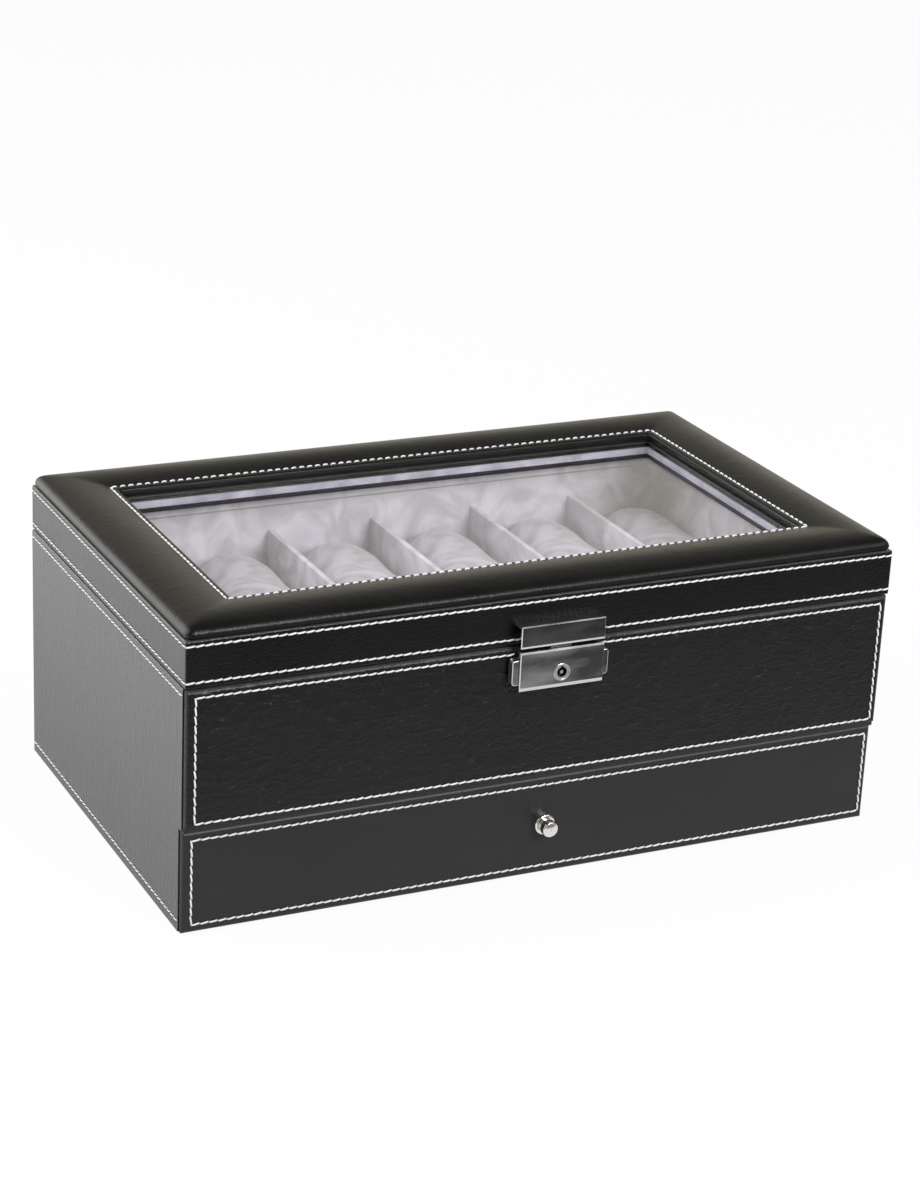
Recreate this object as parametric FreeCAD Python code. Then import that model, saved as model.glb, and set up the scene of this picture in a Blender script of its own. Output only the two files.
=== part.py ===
# Watch box with a window lid and one drawer, covered in black leatherette.
# Sizes are in millimetres. +Z is up and the front faces -Y.
# The origin is the middle of the underside that the box stands on.

import FreeCAD
import Part
import math
import os

Vector = FreeCAD.Vector
os.makedirs("parts", exist_ok=True)

# Whole box
box_width = 335.0
box_depth = 203.0
case_height = 112.2
seam_gap = 0.6
lid_skirt_height = 20.9

# Sheet and board thicknesses
leather = 0.8
board = 7.6
velvet = 0.6
felt_thickness = 1.0
felt_inset = 3.0
base_thickness = 5.0
tray_board_thickness = 4.4

# Front panels: card wrapped in leather, glued on
panel_thickness = 3.0
panel_edge_radius = 1.8
panel_side_inset = 0.5
panel_top_drop = 0.3
drawer_panel_height = 46.6
panel_reveal = 2.6
drawer_opening_lip = 1.1
opening_edge_fit = 0.1

# Watch compartment
slot_columns = 6
divider_thickness = 2.6
divider_drop = 11.5
divider_slot_fit = 0.1

# Watch pillows
pillow_side_fit = 1.5
pillow_end_fit = 3.0
pillow_floor_fit = 0.3
pillow_top_drop = 3.7
pillow_tuck = 3.0
pillow_shoulder_drop = 10.3
pillow_end_round = 5.9
pillow_round_narrowing = 1.5
pillow_round_lowering = 2.2
pillow_end_narrowing = 6.9
pillow_end_lowering = 6.9

# Drawer
drawer_fit_side = 0.8
drawer_fit_floor = 0.3
drawer_fit_back = 1.5
drawer_panel_fit = 0.3
drawer_front_thickness = 7.0
drawer_wall = 6.0
drawer_floor_thickness = 3.0
drawer_top_fit = 2.5
drawer_divider_thickness = 3.0
drawer_divider_drop = 5.6
drawer_columns = 3

# Lid top: board, window and padded ring
lid_top_thickness = 5.9
glass_thickness = 2.0
glass_drop = 2.1
glass_border = 24.0
glass_fit = 0.3
window_border = 30.4
window_edge_radius = 0.4
bezel_width = 3.0
bezel_height = 2.2
ring_edge_inset = 0.8
ring_inner_border = 31.2
ring_crown = 6.0
ring_corner_radius = 5.0
ring_mitre_margin = 5.0
ring_board_outer = 3.0
ring_board_inner = 29.7
ring_board_thickness = 2.4

# Ring section near its outer edge: (distance in from the edge, height above the skirt)
ring_foot = (0.8, 0.0)
ring_side = (0.15, 1.0)
ring_edge = (0.0, 2.2)

# Ring section higher up on the outside: (distance in from the edge, drop below the crown)
ring_edge_round = (1.1, 2.0)
ring_shoulder = (4.2, 1.0)

# Ring section by the window: (distance out from the window, drop below the crown)
ring_seam_start = (5.5, 1.4)
ring_seam = (3.2, 1.95)
ring_seam_end = (1.4, 2.0)
ring_lip_round = (0.3, 2.4)
ring_lip = (0.0, 3.2)
ring_tuck = 0.9
ring_crown_shift = 1.4

# Knob, a little over the middle of the drawer's panel
knob_rise = 1.4
knob_base_radius = 4.8
knob_base_length = 3.2
knob_neck_radius = 2.8
knob_neck_length = 1.4
knob_head_radius = 3.65
knob_head_length = 4.0
knob_edge = 0.8
knob_dome = 0.5
knob_screw_radius = 1.6
knob_screw_in_knob = 5.5
knob_screw_head_radius = 2.9
knob_screw_head_height = 1.6

# Lock on the front: plate, housing, slider, hook and key cylinder
lock_half_width = 19.9
lock_top_drop = 0.8
lock_height = 17.4
lock_depth = 6.7
lock_plate_thickness = 1.2
lock_bottom_bevel = 1.5
lock_top_bevel = 0.7
sheet_edge_bevel = 0.2
sheet_side_bevel = 0.3
lock_housing_half_width = 18.0
lock_back_thickness = 1.2
lock_wall = 1.2
lock_wall_inset = 0.9
barrel_rise = 6.6
barrel_radius = 3.2
barrel_fit = 0.05
barrel_proud = 0.1
barrel_length = 3.0
barrel_flange_radius = 3.8
barrel_flange_thickness = 0.8
barrel_flange_fit = 0.2
barrel_ring_width = 0.55
barrel_ring_proud = 0.35
keyhole_radius = 2.3
keyhole_depth = 1.6
key_pin_radius = 0.75
key_pin_drop = 0.3
keyhole_slot_width = 1.2
keyhole_slot_reach = 2.9
slider_thickness = 1.7
slider_back_fit = 0.3
slider_top_fit = 0.3
slider_floor_fit = 0.2
latch_travel = 3.5
slider_half_width = 19.0
ear_half_width = 22.9
ear_width = 3.9
ear_front_fit = 0.2
ear_rise = 2.3
ear_height = 11.6
ear_corner_radius = 1.5
ear_edge_radius = 0.45
nose_half_width = 2.4
nose_height = 1.5
nose_reach = 0.3
spring_place = 12.0
spring_radius = 0.8
spring_wire_radius = 0.2
spring_turns = 6
spring_end_fit = 0.3
spring_pocket_fit = 0.3
spring_pocket_height = 5.3

# Catch plate on the lid
catch_rise = 0.6
catch_height = 9.9
catch_sheet = 1.1
catch_back_half_width = 15.0
catch_back_height = 8.0
catch_bevel = 0.9
catch_top_bevel = 0.45
hook_half_width = 5.0
hook_thickness = 1.1
hook_gap = 0.6
hook_reach = 6.3
hook_bridge = 2.0
hook_slot_fit = 0.8

# Small screws
screw_radius = 1.1
screw_head_radius = 2.4
screw_head_height = 1.4
lock_screw_place = 15.5
lock_screw_rise = 7.7
catch_screw_place = 10.0
catch_screw_rise = 5.8

# Hinges on the back
hinge_side_inset = 62.5
hinge_length = 36.0
hinge_knuckle_radius = 2.6
hinge_pin_radius = 1.1
hinge_pin_fit = 0.05
hinge_pin_head = 0.4
hinge_clearance = 0.2
hinge_leaf_thickness = 1.2
hinge_leaf_height = 15.0
hinge_leaf_notch = 0.4
hinge_knuckle_gap = 0.3
hinge_screw_spread = 11.0
hinge_screw_rise = 9.5
hinge_screw_length = 6.5

# Working values: how far a cutting block overshoots, and how close an edge counts as on a plane
cut_margin = 1.0
near = 0.1

# Planes and levels that follow from the sizes above
half_width = box_width / 2
front_plane = -box_depth / 2
back_plane = box_depth / 2
case_bottom = felt_thickness
base_top = case_bottom + base_thickness
inner_half_width = half_width - leather - board - velvet
board_half_width = half_width - leather
board_inner_half_width = board_half_width - board
board_back = back_plane - leather
board_back_inner = board_back - board
inner_back = board_back_inner - velvet
panel_back = front_plane + panel_thickness
front_board_inner = panel_back + board
inner_front = front_board_inner + velvet
drawer_panel_front = panel_back
drawer_panel_back = drawer_panel_front + panel_thickness
side_lower_front = drawer_panel_back + drawer_panel_fit
drawer_panel_top = case_bottom + drawer_panel_height
upper_panel_bottom = drawer_panel_top + panel_reveal
opening_top = drawer_panel_top + drawer_opening_lip
tray_board_top = opening_top + tray_board_thickness
tray_floor = tray_board_top + velvet
rim_board_top = case_height - leather
lid_bottom = case_height + seam_gap
skirt_top = lid_bottom + lid_skirt_height
lid_board_top = skirt_top - leather
lid_top_board_bottom = lid_board_top - lid_top_thickness
lid_skirt_board_bottom = lid_bottom + leather
lid_board_front = front_plane + leather
lid_board_front_inner = lid_board_front + board
lid_wall = leather + board
lid_lined_wall = lid_wall + velvet
glass_top = skirt_top - glass_drop
glass_bottom = glass_top - glass_thickness
window_leather_border = window_border + leather
window_velvet_border = window_border + velvet
lining_underside = lid_top_board_bottom - velvet
divider_top = case_height - divider_drop
knob_height = (case_bottom + drawer_panel_top) / 2 + knob_rise
lock_front = front_plane - lock_depth
lock_top = case_height - lock_top_drop
lock_bottom = lock_top - lock_height
barrel_height = lock_bottom + barrel_rise
lock_plate_back = lock_front + lock_plate_thickness
lock_back_front = front_plane - lock_back_thickness
slider_back = lock_back_front - slider_back_fit
slider_front = slider_back - slider_thickness
catch_bottom = lid_bottom + catch_rise
hinge_place = half_width - hinge_side_inset
hinge_axis_y = back_plane + hinge_clearance + hinge_knuckle_radius
hinge_axis_z = case_height + seam_gap / 2


def block(x_low, x_high, y_low, y_high, z_low, z_high):
    return Part.makeBox(x_high - x_low, y_high - y_low, z_high - z_low, Vector(x_low, y_low, z_low))


def border_block(border, z_low, z_high):
    """A block whose four sides stand in from the outside of the box by the border."""
    return block(-half_width + border, half_width - border,
                 front_plane + border, back_plane - border, z_low, z_high)


def frame_between(outer_border, inner_border, z_low, z_high):
    outer = border_block(outer_border, z_low, z_high)
    return outer.cut(border_block(inner_border, z_low, z_high))


def extrude_along_x(points, x_low, x_high):
    corners = [Vector(x_low, y, z) for y, z in points]
    face = Part.Face(Part.makePolygon(corners + corners[:1]))
    return face.extrude(Vector(x_high - x_low, 0, 0))


def rod_along_y(x, z, radius, y_low, y_high):
    return Part.makeCylinder(radius, y_high - y_low, Vector(x, y_low, z), Vector(0, 1, 0))


def rod_along_x(y, z, radius, x_low, x_high):
    return Part.makeCylinder(radius, x_high - x_low, Vector(x_low, y, z), Vector(1, 0, 0))


def countersunk_screw(x, z, tip_y, head_y):
    """A screw along Y with a flat head that is flush at head_y."""
    direction = 1 if head_y > tip_y else -1
    length = abs(head_y - tip_y) - screw_head_height
    axis = Vector(0, direction, 0)
    shank = Part.makeCylinder(screw_radius, length, Vector(x, tip_y, z), axis)
    head_start = Vector(x, tip_y + direction * length, z)
    head = Part.makeCone(screw_radius, screw_head_radius, screw_head_height, head_start, axis)
    return shank.fuse(head).removeSplitter()


def round_edges(solid, radius, chosen):
    edges = [edge for edge in solid.Edges if chosen(edge)]
    return solid.makeFillet(radius, edges)


def save(name, shape):
    shape.exportStep("parts/" + name + ".step")


def group(solids):
    return Part.makeCompound(solids)


# Case boards. Each side board has a step at its lower front for the drawer's panel.
step_front = side_lower_front + leather
step_top = opening_top + leather
side_front = panel_back + leather
side_outline = [
    (step_front, case_bottom),
    (board_back, case_bottom),
    (board_back, rim_board_top),
    (side_front, rim_board_top),
    (side_front, step_top),
    (step_front, step_top),
]
right_side_board = extrude_along_x(side_outline, board_inner_half_width, board_half_width)
left_side_board = extrude_along_x(side_outline, -board_half_width, -board_inner_half_width)
base_board = block(-board_inner_half_width, board_inner_half_width,
                   side_lower_front, board_back_inner, case_bottom, base_top)
back_board = block(-board_inner_half_width, board_inner_half_width,
                   board_back_inner, board_back, case_bottom, rim_board_top)
upper_front_board = block(-board_inner_half_width, board_inner_half_width,
                          panel_back, front_board_inner, opening_top, rim_board_top)
tray_board = block(-board_inner_half_width, board_inner_half_width,
                   front_board_inner, board_back_inner, opening_top, tray_board_top)
base_felt = block(-half_width + felt_inset, half_width - felt_inset,
                  side_lower_front + felt_inset, back_plane - felt_inset, 0, felt_thickness)


# Case leather: wraps the sides, the back and the rim, and turns in at the front edges.
leather_outline = [
    (side_lower_front, case_bottom),
    (back_plane, case_bottom),
    (back_plane, case_height),
    (panel_back, case_height),
    (panel_back, opening_top),
    (side_lower_front, opening_top),
]
case_leather = extrude_along_x(leather_outline, -half_width, half_width)
case_leather = round_edges(
    case_leather, leather,
    lambda edge: edge.BoundBox.ZMin > case_height - near and edge.BoundBox.YMax > panel_back + near)
case_leather = case_leather.cut(extrude_along_x(side_outline, -board_half_width, board_half_width))
case_leather = case_leather.cut(block(-board_inner_half_width, board_inner_half_width,
                                      panel_back - cut_margin, board_back_inner, 0, rim_board_top))
case_leather = case_leather.cut(block(-board_inner_half_width, board_inner_half_width,
                                      front_board_inner, board_back_inner, 0, case_height + cut_margin))

# Over the drawer the leather turns under the upper front board and shows as a strip below the upper panel.
opening_edge_bottom = opening_top - leather
opening_edge = block(-half_width + panel_side_inset, half_width - panel_side_inset,
                     panel_back - leather, panel_back,
                     opening_edge_bottom, upper_panel_bottom - opening_edge_fit)
opening_fold_half_width = board_inner_half_width - opening_edge_fit
opening_edge_fold = block(-opening_fold_half_width, opening_fold_half_width,
                          panel_back, front_board_inner, opening_edge_bottom, opening_top)
case_leather = case_leather.fuse([opening_edge, opening_edge_fold]).removeSplitter()


def front_panel(z_low, z_high, y_front):
    """A leather-wrapped card panel with soft front edges."""
    half = half_width - panel_side_inset
    panel = block(-half, half, y_front, y_front + panel_thickness, z_low, z_high)
    return round_edges(panel, panel_edge_radius, lambda edge: edge.BoundBox.YMax < y_front + near)


upper_front_panel = front_panel(upper_panel_bottom, case_height - panel_top_drop, front_plane)


# Watch compartment: velvet lining and the card dividers that slot into each other.
tray_lining = block(-board_inner_half_width, board_inner_half_width,
                    front_board_inner, board_back_inner, tray_board_top, case_height)
tray_lining = tray_lining.cut(block(-inner_half_width, inner_half_width,
                                    inner_front, inner_back, tray_floor, case_height))
slot_width = (2 * inner_half_width - (slot_columns - 1) * divider_thickness) / slot_columns
slot_length = (inner_back - inner_front - divider_thickness) / 2
slot_middle = (inner_back + inner_front) / 2
divider_places = [-inner_half_width + column * (slot_width + divider_thickness) - divider_thickness / 2
                  for column in range(1, slot_columns)]


def halved_cards(long_card, cross_card, places, middle_y, thickness, z_low, z_high):
    """Cuts a long card from above and the cross cards from below where they cross."""
    reach = thickness / 2 + divider_slot_fit
    middle_z = (z_low + z_high) / 2
    cross_cards = []
    for place in places:
        long_card = long_card.cut(block(place - reach, place + reach, middle_y - thickness,
                                        middle_y + thickness, middle_z, z_high + cut_margin))
        card = cross_card.copy()
        card.translate(Vector(place, 0, 0))
        cross_cards.append(card.cut(block(place - thickness, place + thickness, middle_y - reach,
                                          middle_y + reach, z_low - cut_margin, middle_z)))
    return long_card, cross_cards


long_divider = block(-inner_half_width, inner_half_width, slot_middle - divider_thickness / 2,
                     slot_middle + divider_thickness / 2, tray_floor, divider_top)
cross_divider = block(-divider_thickness / 2, divider_thickness / 2,
                      inner_front, inner_back, tray_floor, divider_top)
long_divider, cross_dividers = halved_cards(
    long_divider, cross_divider, divider_places, slot_middle, divider_thickness, tray_floor, divider_top)


# Watch pillows: crowned velvet cushions, drawn in at both ends, flat underneath.
pillow_width = slot_width - 2 * pillow_side_fit
pillow_length = slot_length - 2 * pillow_end_fit
pillow_height = divider_top - pillow_top_drop - tray_floor - pillow_floor_fit


def pillow_section(y, narrowing, lowering):
    """One closed outline across a pillow: flat base, bulged sides and a crowned top."""
    half = (pillow_width - narrowing) / 2
    height = pillow_height - lowering
    shoulder = height - pillow_shoulder_drop
    base_left = Vector(-half + pillow_tuck, y, 0)
    base_right = Vector(half - pillow_tuck, y, 0)
    shoulder_left = Vector(-half + pillow_tuck, y, shoulder)
    shoulder_right = Vector(half - pillow_tuck, y, shoulder)
    return Part.Wire([
        Part.LineSegment(base_left, base_right).toShape(),
        Part.Arc(base_right, Vector(half, y, shoulder / 2), shoulder_right).toShape(),
        Part.Arc(shoulder_right, Vector(0, y, height), shoulder_left).toShape(),
        Part.Arc(shoulder_left, Vector(-half, y, shoulder / 2), base_left).toShape(),
    ])


def pillow():
    end = pillow_length / 2
    end_section = (end, pillow_end_narrowing, pillow_end_lowering)
    round_section = (end - pillow_end_round, pillow_round_narrowing, pillow_round_lowering)
    half_run = [end_section, round_section]
    run = [(-y, narrowing, lowering) for y, narrowing, lowering in half_run]
    run += [(0, 0, 0)] + half_run[::-1]
    sections = [pillow_section(y, narrowing, lowering) for y, narrowing, lowering in run]
    return Part.makeLoft(sections, True, False)


one_pillow = pillow()
pillows = {}
for row_name, row_sign in (("front", -1), ("back", 1)):
    for column in range(slot_columns):
        cushion = one_pillow.copy()
        middle_x = -inner_half_width + slot_width / 2 + column * (slot_width + divider_thickness)
        middle_y = slot_middle + row_sign * (slot_length + divider_thickness) / 2
        cushion.translate(Vector(middle_x, middle_y, tray_floor + pillow_floor_fit))
        pillows["watch_pillow_" + row_name + "_" + str(column + 1)] = cushion


# Lid boards and the leather round its skirt.
lid_front_board = block(-board_half_width, board_half_width, lid_board_front, lid_board_front_inner,
                        lid_skirt_board_bottom, lid_top_board_bottom)
lid_back_board = block(-board_half_width, board_half_width, board_back_inner, board_back,
                       lid_skirt_board_bottom, lid_top_board_bottom)
lid_right_board = block(board_inner_half_width, board_half_width, lid_board_front_inner, board_back_inner,
                        lid_skirt_board_bottom, lid_top_board_bottom)
lid_left_board = block(-board_half_width, -board_inner_half_width, lid_board_front_inner, board_back_inner,
                       lid_skirt_board_bottom, lid_top_board_bottom)
lid_top_board = frame_between(leather, window_border, lid_top_board_bottom, lid_board_top)
lid_top_board = lid_top_board.cut(border_block(glass_border, lid_top_board_bottom, glass_top))

lid_leather = border_block(0, lid_bottom, skirt_top)
lid_leather = round_edges(lid_leather, leather, lambda edge: True)
lid_leather = lid_leather.cut(border_block(leather, lid_skirt_board_bottom, lid_board_top))
lid_leather = lid_leather.cut(border_block(lid_wall, lid_bottom - cut_margin, lid_board_top))
lid_leather = lid_leather.cut(border_block(window_border, lid_bottom, skirt_top + cut_margin))

# The leather turns down over the edge of the window opening, as far as the pane.
window_leather = frame_between(window_border, window_leather_border, glass_top, skirt_top)
opening_half_width = half_width - window_border - near
window_leather = round_edges(
    window_leather, window_edge_radius,
    lambda edge: (edge.BoundBox.ZMin > skirt_top - near
                  and max(edge.BoundBox.XMax, -edge.BoundBox.XMin) < opening_half_width))
lid_leather = lid_leather.fuse(window_leather).removeSplitter()

# Window: the pane is let into the top board from below and held by a frame of board.
window_glass = border_block(glass_border + glass_fit, glass_bottom, glass_top)
pane_frame = frame_between(glass_border, window_border, lid_top_board_bottom, glass_bottom)
wall_lining = frame_between(lid_wall, lid_lined_wall, lid_bottom, lining_underside)
top_lining = frame_between(lid_wall, window_velvet_border, lining_underside, lid_top_board_bottom)
window_lining = frame_between(window_border, window_velvet_border, lid_top_board_bottom, glass_bottom)
lid_lining = wall_lining.fuse([top_lining, window_lining]).removeSplitter()

# A black moulding under the lining trims the opening.
window_bezel = frame_between(window_velvet_border - bezel_width, window_velvet_border,
                             lining_underside - bezel_height, lining_underside)


# Padded ring: one soft section swept round the window with mitred corners.
ring_board = frame_between(ring_board_outer, ring_board_inner, skirt_top, skirt_top + ring_board_thickness)


def ring_section():
    """Arcs and lines between points (distance in from the outside of the box, height above the skirt)."""

    def outside(point):
        return ring_edge_inset + point[0], point[1]

    def upper(point):
        return ring_edge_inset + point[0], ring_crown - point[1]

    def inside(point):
        return ring_inner_border - point[0], ring_crown - point[1]

    crown = ((ring_edge_inset + ring_inner_border) / 2 - ring_crown_shift, ring_crown)
    lip_foot = (ring_inner_border - ring_tuck, 0.0)
    arcs = [(outside(ring_foot), outside(ring_side), outside(ring_edge)),
            (outside(ring_edge), upper(ring_edge_round), upper(ring_shoulder)),
            (upper(ring_shoulder), crown, inside(ring_seam_start)),
            (inside(ring_seam_start), inside(ring_seam), inside(ring_seam_end)),
            (inside(ring_seam_end), inside(ring_lip_round), inside(ring_lip))]
    lines = [(inside(ring_lip), lip_foot), (lip_foot, outside(ring_foot))]
    return arcs, lines


def ring_bar(length, half_span):
    """One side of the ring, its outside on the plane y = -half_span, mitred at both ends."""
    arcs, lines = ring_section()

    def at(point):
        return Vector(-length / 2, -half_span + point[0], skirt_top + point[1])

    edges = [Part.Arc(at(start), at(middle), at(end)).toShape() for start, middle, end in arcs]
    edges += [Part.LineSegment(at(start), at(end)).toShape() for start, end in lines]
    bar = Part.Face(Part.Wire(edges)).extrude(Vector(length, 0, 0))
    reach = ring_inner_border + ring_mitre_margin
    foot = skirt_top - cut_margin
    outline = [Vector(-length / 2, -half_span, foot), Vector(length / 2, -half_span, foot),
               Vector(length / 2 - reach, -half_span + reach, foot),
               Vector(-length / 2 + reach, -half_span + reach, foot)]
    mitre_height = ring_crown + 2 * cut_margin
    mitre = Part.Face(Part.makePolygon(outline + outline[:1])).extrude(Vector(0, 0, mitre_height))
    return bar.common(mitre)


front_bar = ring_bar(box_width, box_depth / 2)
side_bar = ring_bar(box_depth, box_width / 2)
ring_bars = [front_bar, front_bar.copy(), side_bar, side_bar.copy()]
for bar, turn in zip(ring_bars, (0, 180, 90, 270)):
    bar.rotate(Vector(0, 0, 0), Vector(0, 0, 1), turn)
padded_ring = ring_bars[0].fuse(ring_bars[1:]).removeSplitter()
corner_prism = border_block(0, skirt_top, skirt_top + ring_crown + cut_margin)
corner_prism = round_edges(corner_prism, ring_corner_radius,
                           lambda edge: edge.BoundBox.ZLength > ring_crown)
padded_ring = padded_ring.common(corner_prism)
padded_ring = padded_ring.cut(ring_board)


# Drawer: a lined board box behind a full-width panel.
drawer_half_width = board_inner_half_width - drawer_fit_side
drawer_bottom = base_top + drawer_fit_floor
drawer_side_top = opening_top - drawer_top_fit
drawer_front_back = drawer_panel_back + drawer_front_thickness
drawer_back_outer = board_back_inner - drawer_fit_back
drawer_back_inner = drawer_back_outer - drawer_wall
drawer_floor_top = drawer_bottom + drawer_floor_thickness
drawer_inner_half_width = drawer_half_width - drawer_wall
drawer_front_panel = front_panel(case_bottom, drawer_panel_top, drawer_panel_front)
drawer_front_board = block(-drawer_half_width, drawer_half_width,
                           drawer_panel_back, drawer_front_back, drawer_bottom, drawer_side_top)
drawer_left_side = block(-drawer_half_width, -drawer_inner_half_width,
                         drawer_front_back, drawer_back_outer, drawer_bottom, drawer_side_top)
drawer_right_side = block(drawer_inner_half_width, drawer_half_width,
                          drawer_front_back, drawer_back_outer, drawer_bottom, drawer_side_top)
drawer_back = block(-drawer_inner_half_width, drawer_inner_half_width,
                    drawer_back_inner, drawer_back_outer, drawer_bottom, drawer_side_top)
drawer_floor = block(-drawer_inner_half_width, drawer_inner_half_width,
                     drawer_front_back, drawer_back_inner, drawer_bottom, drawer_floor_top)
drawer_lining = block(-drawer_inner_half_width, drawer_inner_half_width,
                      drawer_front_back, drawer_back_inner, drawer_floor_top, drawer_side_top)
drawer_space_half = drawer_inner_half_width - velvet
drawer_space_front = drawer_front_back + velvet
drawer_space_back = drawer_back_inner - velvet
drawer_space_floor = drawer_floor_top + velvet
drawer_lining = drawer_lining.cut(block(-drawer_space_half, drawer_space_half, drawer_space_front,
                                        drawer_space_back, drawer_space_floor, drawer_side_top))
drawer_middle = (drawer_space_front + drawer_space_back) / 2
drawer_divider_top = drawer_side_top - drawer_divider_drop
drawer_cell = (2 * drawer_space_half - (drawer_columns - 1) * drawer_divider_thickness) / drawer_columns
drawer_divider_places = [
    -drawer_space_half + column * (drawer_cell + drawer_divider_thickness) - drawer_divider_thickness / 2
    for column in range(1, drawer_columns)]
drawer_long_divider = block(-drawer_space_half, drawer_space_half,
                            drawer_middle - drawer_divider_thickness / 2,
                            drawer_middle + drawer_divider_thickness / 2,
                            drawer_space_floor, drawer_divider_top)
drawer_cross_divider = block(-drawer_divider_thickness / 2, drawer_divider_thickness / 2,
                             drawer_space_front, drawer_space_back,
                             drawer_space_floor, drawer_divider_top)
drawer_long_divider, drawer_cross_dividers = halved_cards(
    drawer_long_divider, drawer_cross_divider, drawer_divider_places, drawer_middle,
    drawer_divider_thickness, drawer_space_floor, drawer_divider_top)


# Knob: base, neck and a smaller domed head, turned in one piece, held by a screw from inside.
def turned(points_and_arcs, x, z):
    """Turns a half outline of (radius, y) round an axis along Y."""
    edges = []
    for step in points_and_arcs:
        points = [Vector(x + radius, y, z) for radius, y in step]
        if len(points) == 3:
            edges.append(Part.Arc(points[0], points[1], points[2]).toShape())
        else:
            edges.append(Part.LineSegment(points[0], points[1]).toShape())
    face = Part.Face(Part.Wire(edges))
    return face.revolve(Vector(x, 0, z), Vector(0, 1, 0), 360)


knob_seat = drawer_panel_front
base_front = knob_seat - knob_base_length
neck_front = base_front - knob_neck_length
head_front = neck_front - knob_head_length
edge_inset = knob_edge * (1 - math.sqrt(0.5))
face_radius = knob_head_radius - knob_edge
dome_radius = (face_radius ** 2 + knob_dome ** 2) / (2 * knob_dome)
dome_half_rise = math.sqrt(dome_radius ** 2 - face_radius ** 2 / 4) - dome_radius + knob_dome
knob_outline = [
    [(0, knob_seat), (knob_base_radius, knob_seat)],
    [(knob_base_radius, knob_seat), (knob_base_radius, base_front + knob_edge)],
    [(knob_base_radius, base_front + knob_edge), (knob_base_radius - edge_inset, base_front + edge_inset),
     (knob_base_radius - knob_edge, base_front)],
    [(knob_base_radius - knob_edge, base_front), (knob_neck_radius, base_front)],
    [(knob_neck_radius, base_front), (knob_neck_radius, neck_front)],
    [(knob_neck_radius, neck_front), (knob_head_radius - knob_edge, neck_front)],
    [(knob_head_radius - knob_edge, neck_front), (knob_head_radius - edge_inset, neck_front - edge_inset),
     (knob_head_radius, neck_front - knob_edge)],
    [(knob_head_radius, neck_front - knob_edge), (knob_head_radius, head_front + knob_edge)],
    [(knob_head_radius, head_front + knob_edge), (knob_head_radius - edge_inset, head_front + edge_inset),
     (face_radius, head_front)],
    [(face_radius, head_front), (face_radius / 2, head_front - dome_half_rise), (0, head_front - knob_dome)],
    [(0, head_front - knob_dome), (0, knob_seat)],
]
drawer_knob = turned(knob_outline, 0, knob_height)
knob_screw_tip = knob_seat - knob_screw_in_knob
knob_screw = rod_along_y(0, knob_height, knob_screw_radius, knob_screw_tip, drawer_space_front)
knob_screw_cap = Part.makeCone(knob_screw_head_radius, knob_screw_radius, knob_screw_head_height,
                               Vector(0, drawer_space_front, knob_height), Vector(0, 1, 0))
knob_screw = knob_screw.fuse(knob_screw_cap).removeSplitter()
drawer_knob = drawer_knob.cut(knob_screw)
drawer_front_panel = drawer_front_panel.cut(knob_screw)
drawer_front_board = drawer_front_board.cut(knob_screw)
drawer_lining = drawer_lining.cut(knob_screw)


# Lock housing: front plate, back plate and two walls. The slider runs between the walls.
lock_outline = [
    (lock_plate_back, lock_bottom),
    (lock_front + sheet_edge_bevel, lock_bottom),
    (lock_front, lock_bottom + lock_bottom_bevel),
    (lock_front, lock_top - lock_top_bevel),
    (lock_front + lock_top_bevel, lock_top),
    (lock_plate_back, lock_top),
]


def sheet_plan(y_back, z_low, z_high):
    """A block as wide as the lock, with a small bevel down each side of its front."""
    inner = lock_half_width - sheet_side_bevel
    corners = [Vector(x, y, z_low) for x, y in (
        (-lock_half_width, y_back),
        (-lock_half_width, lock_front + sheet_side_bevel),
        (-inner, lock_front),
        (inner, lock_front),
        (lock_half_width, lock_front + sheet_side_bevel),
        (lock_half_width, y_back),
    )]
    face = Part.Face(Part.makePolygon(corners + corners[:1]))
    return face.extrude(Vector(0, 0, z_high - z_low))


lock_plate = extrude_along_x(lock_outline, -lock_half_width, lock_half_width)
lock_plate = lock_plate.common(sheet_plan(lock_plate_back, lock_bottom, lock_top))
lock_wall_low = lock_bottom + lock_wall_inset
lock_wall_high = lock_top - lock_wall_inset
lock_back = block(-lock_housing_half_width, lock_housing_half_width,
                  lock_back_front, front_plane, lock_wall_low, lock_wall_high)
lock_floor = block(-lock_housing_half_width, lock_housing_half_width,
                   lock_plate_back, lock_back_front, lock_wall_low, lock_wall_low + lock_wall)
lock_roof = block(-lock_housing_half_width, lock_housing_half_width,
                  lock_plate_back, lock_back_front, lock_wall_high - lock_wall, lock_wall_high)
hook_front = lock_plate_back + hook_gap
hook_back = hook_front + hook_thickness
hook_slot = block(-hook_half_width - hook_slot_fit, hook_half_width + hook_slot_fit,
                  lock_plate_back, slider_front,
                  lock_wall_high - lock_wall - cut_margin, lock_wall_high + cut_margin)
barrel_ring = rod_along_y(0, barrel_height, barrel_radius + barrel_fit + barrel_ring_width,
                          lock_front - barrel_ring_proud, lock_front + barrel_ring_proud)
lock_case = lock_plate.fuse([lock_back, lock_floor, lock_roof, barrel_ring]).removeSplitter()
lock_case = lock_case.cut(hook_slot)
lock_case = lock_case.cut(rod_along_y(0, barrel_height, barrel_radius + barrel_fit,
                                      lock_front - cut_margin, lock_plate_back))

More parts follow.
